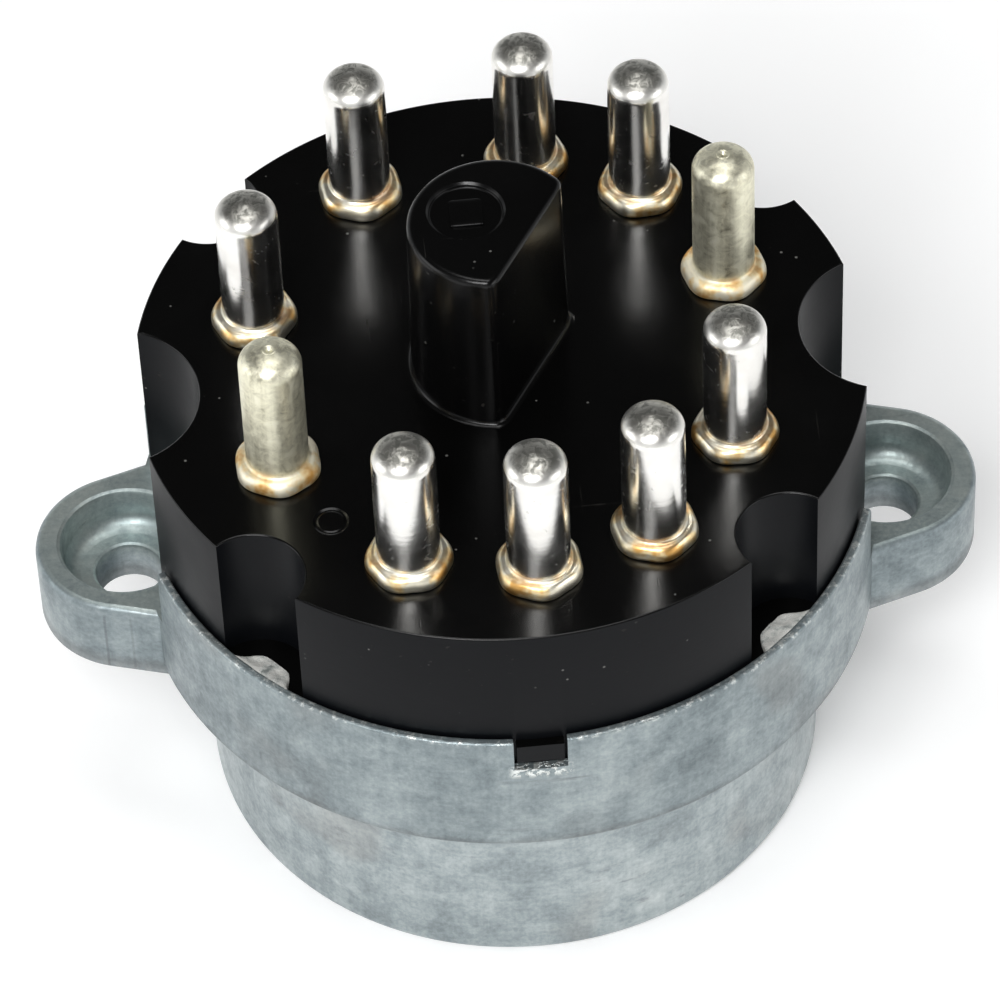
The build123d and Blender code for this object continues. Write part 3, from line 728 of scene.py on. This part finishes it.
levels = [(d_outline(*post_at(Z_FACE - 1)), Z_FACE - 1)]
for k in range(5):
    t = math.radians(90 * k / 4)
    r, f = post_at(Z_FACE)
    flare = 0.35 * (1 - math.sin(t))
    levels.append((d_outline(r + flare, f + flare), Z_FACE + 0.35 * (1 - math.cos(t))))
for z in (Z_FACE + 3, Z_FACE + 6, Z_FACE + 9, POST_TOP - 0.45):
    levels.append((d_outline(*post_at(z)), z))
for k in range(1, 7):
    t = math.radians(90 * k / 6)
    r, f = post_at(POST_TOP - 0.45)
    levels.append((d_outline(r - 0.45 * (1 - math.cos(t)), f - 0.45 * (1 - math.cos(t))), POST_TOP - 0.45 + 0.45 * math.sin(t)))
post = stack("post", levels)
ox, oy = polar(-RECESS_OFF, POST_ANG)
cut = rounded([(0, POST_TOP - 0.32), (RECESS_R, POST_TOP - 0.32, 0.12), (RECESS_R + 0.04, POST_TOP - 0.14, 0.1),
               (RECESS_R + 0.22, POST_TOP + 0.02), (RECESS_R + 0.22, POST_TOP + 1), (0, POST_TOP + 1)], 5)
boolean(post, lathe("t", cut, 96, ox, oy))


def pad_outline(inset):
    return rounded([(ox + sx * (1.05 - inset), oy + sy * (1.15 - inset), 0.25) for sx, sy in ((-1, -1), (1, -1), (1, 1), (-1, 1))], 5)


pad = stack("pad", [(pad_outline(0), POST_TOP - 0.5), (pad_outline(0), POST_TOP - 0.22), (pad_outline(0.03), POST_TOP - 0.16),
                    (pad_outline(0.10), POST_TOP - 0.13), (pad_outline(0.55), POST_TOP - 0.15)])
boolean(post, pad, "UNION")
boolean(plate, post, "UNION")
# ejector pin mark: a shallow ring round a disc that sits a little low
mx, my = polar(17.15, -133.4)
mark = lathe("t", [(0, Z_FACE - 0.03), (0.80, Z_FACE - 0.03), (0.90, Z_FACE - 0.06), (1.00, Z_FACE - 0.06),
                   (1.14, Z_FACE - 0.005), (1.30, Z_FACE + 0.3), (0, Z_FACE + 0.3)], 64, mx, my)
boolean(plate, mark)
shade(plate, 30)
dress(plate, M_BLACK, "case", "moulding_black", "terminal_plate")
plate.data.materials.append(M_WALL_SHADED)
# the walls and the underside take the shaded copy of the moulding
for f in plate.data.polygons:
    r = math.hypot(f.center.x, f.center.y) / MM
    f.material_index = int(abs(f.normal.z) < 0.35 and r > 12 or f.center.z < (Z_FACE + FOOT - 1.2) * MM)

# ------------------------------------------------------------ terminal pins
PIN_R, COLLAR_H, AF, CORNER, FOOT_R = 2.0, 1.05, 5.25, 2.78, 2.22


def hexed(theta, turn, limit):
    """Radius of the collar's outline: a hexagon with its corners turned off and worn soft."""
    total = 0
    for d in (-9, -6, -3, 0, 3, 6, 9):
        t = (theta + d - turn + 30) % 60 - 30
        total += min(limit, AF / 2 / math.cos(math.radians(t)))
    return total / 7


for name, r0, a0, turn in PINS:
    seg = 144
    rows = []  # (z, function of angle)
    z0 = Z_FACE + 0.02
    rows.append((Z_SEAT, lambda th: 2.15))
    rows.append((Z_SEAT + 0.15, lambda th: 2.3))
    rows.append((Z_SEAT + 0.8, lambda th: 2.3))
    rows.append((Z_SEAT + 0.8, lambda th: 1.6))
    rows.append((z0, lambda th: 1.6))
    rows.append((z0, lambda th: hexed(th, turn, CORNER) - 0.14))
    rows.append((z0 + 0.05, lambda th: hexed(th, turn, CORNER) - 0.05))
    rows.append((z0 + 0.14, lambda th: hexed(th, turn, CORNER)))
    rows.append((z0 + 0.30, lambda th: hexed(th, turn, CORNER)))
    for q in range(1, 13):
        t = math.radians(90 * q / 12)
        rows.append((
            z0 + 0.30 + (COLLAR_H - 0.30) * math.sin(t),
            lambda th, c=math.cos(t): FOOT_R + (hexed(th, turn, CORNER) - FOOT_R) * c,
        ))
    zc = z0 + COLLAR_H
    for k in range(1, 6):
        t = math.radians(90 * k / 5)
        rad = PIN_R + (FOOT_R - PIN_R) * (1 - math.sin(t))
        rows.append((zc + 0.22 * (1 - math.cos(t)), lambda th, rad=rad: rad))
    fb = 1.35
    for z in (zc + 1.5, zc + 3.0, zc + 4.5, zc + 6.0, PIN_TOP - fb):
        rows.append((z, lambda th: PIN_R))
    for k in range(1, 15):
        t = math.radians(78 * k / 14)
        rows.append((PIN_TOP - fb + fb * math.sin(t) ** 0.9 / math.sin(math.radians(78)) ** 0.9 * 0.955, lambda th, rad=PIN_R * math.cos(t): rad))
    if name in DULL:
        for rad, z in ((0.38, PIN_TOP), (0.29, PIN_TOP - 0.02), (0.21, PIN_TOP - 0.10), (0.10, PIN_TOP - 0.20)):
            rows.append((z, lambda th, rad=rad: rad))
    else:
        for rad, z in ((0.28, PIN_TOP - 0.015), (0.12, PIN_TOP)):
            rows.append((z, lambda th, rad=rad: rad))
    cx, cy = polar(r0, a0)
    verts, faces = [], []
    for z, fn in rows:
        for k in range(seg):
            th = 360 * k / seg
            rad = fn(th)
            verts.append((cx + rad * math.cos(math.radians(th)), cy + rad * math.sin(math.radians(th)), z))
    for i in range(len(rows) - 1):
        for k in range(seg):
            m = (k + 1) % seg
            faces.append((i * seg + k, i * seg + m, (i + 1) * seg + m, (i + 1) * seg + k))
    faces.append(tuple(reversed(range(seg))))
    last = (len(rows) - 1) * seg
    faces.append(tuple(range(last, last + seg)))
    pin = make("plug_pin_" + name, verts, faces)
    shade(pin, 40)
    dull = name in DULL
    dress(pin, M_DULL if dull else M_PIN, "case", "pin_dull" if dull else "pin_bright", "terminal_pin_" + name)


# ------------------------------------------------------------ bridge springs
def coil(name, x, y, r, wire, z0, z1, turns, seg=44, tube=14):
    """Compression spring with a closed turn at each end."""
    verts, faces = [], []
    n = int(turns * seg)
    close = 2 * wire * 1.04
    rise = (z1 - z0 - 2 * wire - 2 * close) / (turns - 2)
    for i in range(n + 1):
        t = turns * i / n
        climb = min(t, 1) * close + max(0, min(t, turns - 1) - 1) * rise + max(0, t - turns + 1) * close
        for k in range(tube):
            u = 2 * math.pi * k / tube
            rr = r + wire * math.cos(u)
            verts.append((x + rr * math.cos(2 * math.pi * t), y + rr * math.sin(2 * math.pi * t), z0 + wire + climb + wire * math.sin(u)))
    for i in range(n):
        for k in range(tube):
            m = (k + 1) % tube
            faces.append((i * tube + k, i * tube + m, (i + 1) * tube + m, (i + 1) * tube + k))
    faces.append(tuple(reversed(range(tube))))
    faces.append(tuple(range(n * tube, (n + 1) * tube)))
    return shade(make(name, verts, faces), 40)


for n in (1, 2, 3):
    lo, hi = [[v / MM for v in c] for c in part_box("bridge_spring_%d" % n)]
    x, y = (lo[0] + hi[0]) / 2, (lo[1] + hi[1]) / 2
    wire = 0.25
    spring = coil("press_spring_%d" % n, x, y, 1.85, wire, lo[2] - FOOT, hi[2] - FOOT - 0.01, 4.5)
    dress(spring, M_SPRING, "rotor", "spring_steel", "bridge_spring_%d" % n)
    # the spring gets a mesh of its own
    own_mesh(spring)

# ------------------------------------------------------------- return spring
def rod(name, path, wire, tube=16):
    """Round wire along a path, its cut ends eased."""
    pts = [Vector(p) for p in path]
    pts.insert(1, pts[0] + (pts[1] - pts[0]).normalized() * 0.12)
    pts.insert(-1, pts[-1] + (pts[-2] - pts[-1]).normalized() * 0.12)
    verts, faces = [], []
    n = len(pts)
    for i, p in enumerate(pts):
        along = (pts[min(i + 1, n - 1)] - pts[max(i - 1, 0)]).normalized()
        side = along.cross(Vector((0, 0, 1))).normalized()
        over = side.cross(along)
        r = wire * (0.74 if i in (0, n - 1) else 1.0)
        for k in range(tube):
            u = 2 * math.pi * k / tube
            verts.append(tuple(p + (side * math.cos(u) + over * math.sin(u)) * r))
    for i in range(n - 1):
        for k in range(tube):
            m = (k + 1) % tube
            faces.append((i * tube + k, i * tube + m, (i + 1) * tube + m, (i + 1) * tube + k))
    faces.append(tuple(reversed(range(tube))))
    faces.append(tuple(range((n - 1) * tube, n * tube)))
    return shade(make(name, verts, faces), 40)


COIL_R, COIL_WIRE, COIL_LOW, COIL_HIGH = 14.6, 0.45, 12.0, 13.2


def on_coil(a):
    """A point on the coil, which runs from 20 to 300 degrees."""
    return (*polar(COIL_R, a), COIL_LOW + (COIL_HIGH - COIL_LOW) * (a - 20) / 280)


def bend(a, b, c, n=8):
    """Points round a bend from a to c with its corner at b."""
    a, b, c = Vector(a), Vector(b), Vector(c)
    return [tuple(a * (1 - t) ** 2 + b * (2 * t * (1 - t)) + c * t * t) for t in [k / n for k in range(n + 1)]]


# the coil and its outer leg are held by the casing
path = [(*polar(R_CAV + 0.45, 20), COIL_LOW + 0.15)]
path += bend((*polar(COIL_R + 1.2, 20), COIL_LOW + 0.12), (*polar(COIL_R, 20), COIL_LOW + 0.05), on_coil(24.7))
path += [on_coil(24.7 + (294 - 24.7) * k / 150) for k in range(1, 151)]
dress(rod("return_coil", path, COIL_WIRE), M_SPRING, "case", "spring_steel", "return_spring")
# the inner leg is hooked in the rotor's slot and goes round with it
path = [on_coil(294.0)]
path += bend(on_coil(295.3), (*polar(COIL_R, 300), COIL_HIGH - 0.03), (*polar(COIL_R - 1.2, 300), COIL_HIGH - 0.1))
path += [(*polar(10.85, 300), COIL_HIGH - 0.1)]
dress(rod("return_coil_leg", path, COIL_WIRE), M_SPRING, "rotor", "spring_steel")

# -------------------------------------------------------------------- stage
def plane(name, size, z):
    me = bpy.data.meshes.new(name)
    s = size / 2
    me.from_pydata([(-s, -s, z), (s, -s, z), (s, s, z), (-s, s, z)], [], [(0, 1, 2, 3)])
    ob = bpy.data.objects.new(name, me)
    bpy.context.scene.collection.objects.link(ob)
    return ob


floor = plane("floor", 12.0, -0.0002)
fm = Mat("floor_paper")
floor.data.materials.append(fm.set(Base_Color=fm.ramp(fm.noise(3, 2), [(0.3, 0.88), (0.7, 0.92)]), Roughness=0.9, Emission_Color=(1.0, 1.0, 1.0), Emission_Strength=0.20))

world = bpy.data.worlds.new("studio")
bpy.context.scene.world = world
world.use_nodes = True
wt = world.node_tree
bg = wt.nodes["Background"]
geo = wt.nodes.new("ShaderNodeTexCoord")
sep = wt.nodes.new("ShaderNodeSeparateXYZ")
wt.links.new(geo.outputs["Generated"], sep.inputs[0])
ramp = wt.nodes.new("ShaderNodeValToRGB")
el = ramp.color_ramp.elements
el[0].position, el[0].color = 0.0, (0.85, 0.87, 0.88, 1)
el[1].position, el[1].color = 1.0, (0.06, 0.06, 0.06, 1)
mid = el.new(0.28); mid.color = (0.55, 0.56, 0.57, 1)
mid2 = el.new(0.50); mid2.color = (0.055, 0.055, 0.055, 1)
wt.links.new(sep.outputs[2], ramp.inputs["Fac"])
lp = wt.nodes.new("ShaderNodeLightPath")
mixw = wt.nodes.new("ShaderNodeMix")
mixw.data_type = "RGBA"
wt.links.new(lp.outputs["Is Camera Ray"], mixw.inputs[0])
wt.links.new(ramp.outputs["Color"], mixw.inputs[6])
mixw.inputs[7].default_value = (0.95, 0.95, 0.95, 1)
wt.links.new(mixw.outputs[2], bg.inputs["Color"])
bg.inputs["Strength"].default_value = 1.0


def area(name, at, size, power, target=(0, 0, 0.02), color=(1, 1, 1)):
    d = bpy.data.lights.new(name, "AREA")
    d.shape, d.size, d.size_y, d.energy, d.color = "RECTANGLE", size[0], size[1], power, color
    ob = bpy.data.objects.new(name, d)
    bpy.context.scene.collection.objects.link(ob)
    ob.location = at
    ob.rotation_euler = (Vector(target) - Vector(at)).to_track_quat("-Z", "Y").to_euler()
    return ob


# ------------------------------------------------------------------- camera
AZ, EL, ROLL = math.radians(-3.4), math.radians(48.69), math.radians(-2.63)
SCALE, F_PX = 15.66, 6500.0
back = Vector((math.sin(AZ) * math.cos(EL), -math.cos(AZ) * math.cos(EL), math.sin(EL)))
right = (-back).cross(Vector((0, 0, 1))).normalized()
up = right.cross(-back)
r2 = math.cos(ROLL) * right + math.sin(ROLL) * up
u2 = -math.sin(ROLL) * right + math.cos(ROLL) * up
eye = back * (F_PX / SCALE) + right * -0.388 + up * -8.683 + Vector((0, 0, Z_FACE + FOOT))
cam_data = bpy.data.cameras.new("camera")
cam_data.sensor_fit, cam_data.sensor_width = "HORIZONTAL", 36.0
cam_data.lens = F_PX / 1000 * 36.0
cam_data.clip_start, cam_data.clip_end = 0.02, 50.0
cam = bpy.data.objects.new("camera", cam_data)
bpy.context.scene.collection.objects.link(cam)
m = Matrix((r2, u2, back)).transposed().to_4x4()
m.translation = eye * MM
cam.matrix_world = m
bpy.context.scene.camera = cam

area("key", (-0.26, -0.60, 0.66), (0.34, 0.34), 4.6)
area("fill_right", (0.75, -0.35, 0.30), (0.5, 0.4), 1.4)
area("fill_left", (-0.80, -0.05, 0.30), (0.5, 0.4), 1.5)
area("flash", tuple(eye * MM + Vector((-0.015, 0.01, 0.05))), (0.09, 0.06), 0.42)
area("overhead", (0.02, 0.05, 1.2), (0.7, 0.4), 4.0)

bpy.context.scene.view_settings.view_transform = "Standard"
